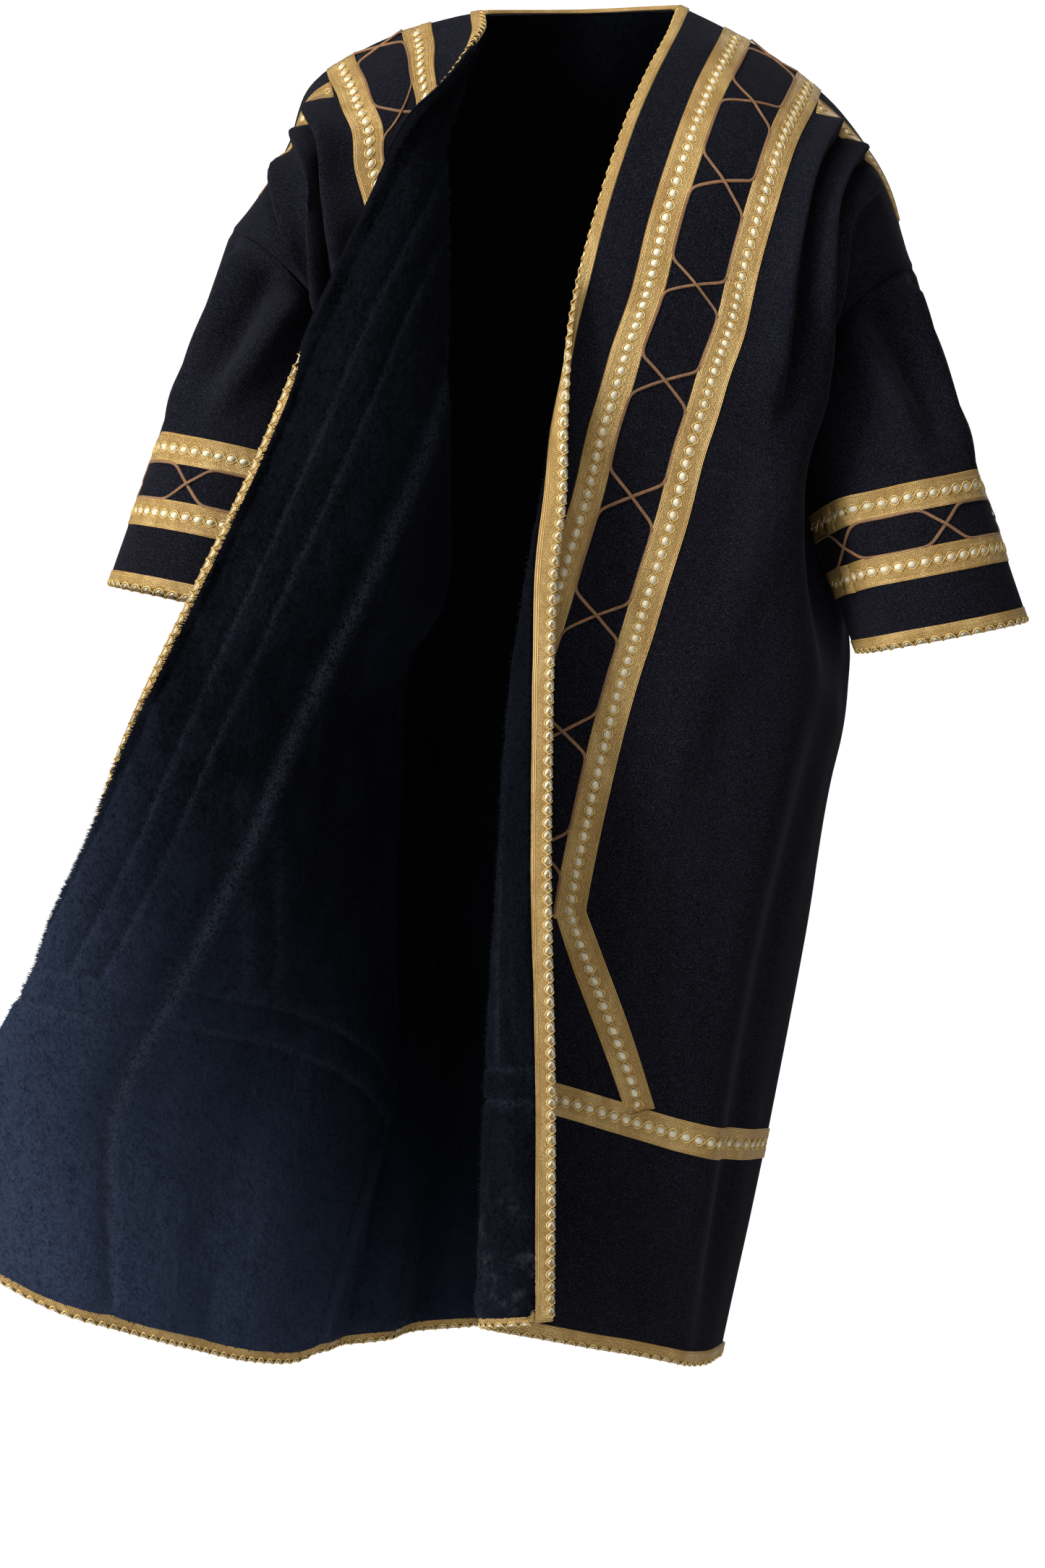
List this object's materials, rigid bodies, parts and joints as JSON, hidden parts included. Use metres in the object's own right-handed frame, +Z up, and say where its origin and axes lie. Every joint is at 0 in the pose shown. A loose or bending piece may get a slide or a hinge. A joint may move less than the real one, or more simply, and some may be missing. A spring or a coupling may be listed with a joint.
{
  "type": "farwa robe",
  "caption": "Long open-fronted winter robe of dark felted wool with a plush lining, braid-bound edges and lattice cord trim, hanging as worn.",
  "frame": {"origin": "the middle of the shoulder line at the base of the neck, where the robe rests when it is worn or hung", "axes": "+Z up along the robe, +X to the wearer's left, +Y to the wearer's back"},
  "size_m": [1.0085, 0.4512, 1.3613],
  "materials": {
    "charcoal_wool": "heathered felted wool, matt",
    "black_plush": "thick cut-pile plush with a blue-black sheen",
    "gold_braid": "woven metallic jacquard braid, satin",
    "brown_cord": "double-ribbed soutache cord, satin"
  },
  "bodies": {
    "root": {"back": "charcoal_wool", "back_lining": "black_plush", "cuff_binding_left": "gold_braid", "cuff_binding_right": "gold_braid", "front_left": "charcoal_wool", "front_left_band_diagonal": "gold_braid", "front_left_band_inner": "gold_braid", "front_left_band_outer": "gold_braid", "front_left_binding": "gold_braid", "front_left_lining": "black_plush", "front_right": "charcoal_wool", "front_right_band_diagonal": "gold_braid", "front_right_band_inner": "gold_braid", "front_right_band_outer": "gold_braid", "front_right_binding": "gold_braid", "front_right_lining": "black_plush", "hem_band_left": "gold_braid", "hem_band_right": "gold_braid", "hem_binding_back": "gold_braid", "hem_binding_left": "gold_braid", "hem_binding_right": "gold_braid", "lattice_left": "brown_cord", "lattice_right": "brown_cord", "neck_binding": "gold_braid", "shoulder_band_left": "gold_braid", "shoulder_band_right": "gold_braid", "sleeve_band_lower_left": "gold_braid", "sleeve_band_lower_right": "gold_braid", "sleeve_band_upper_left": "gold_braid", "sleeve_band_upper_right": "gold_braid", "sleeve_lattice_left": "brown_cord", "sleeve_lattice_right": "brown_cord", "sleeve_left": "charcoal_wool", "sleeve_left_lining": "black_plush", "sleeve_right": "charcoal_wool", "sleeve_right_lining": "black_plush"}
  },
  "joints": []
}
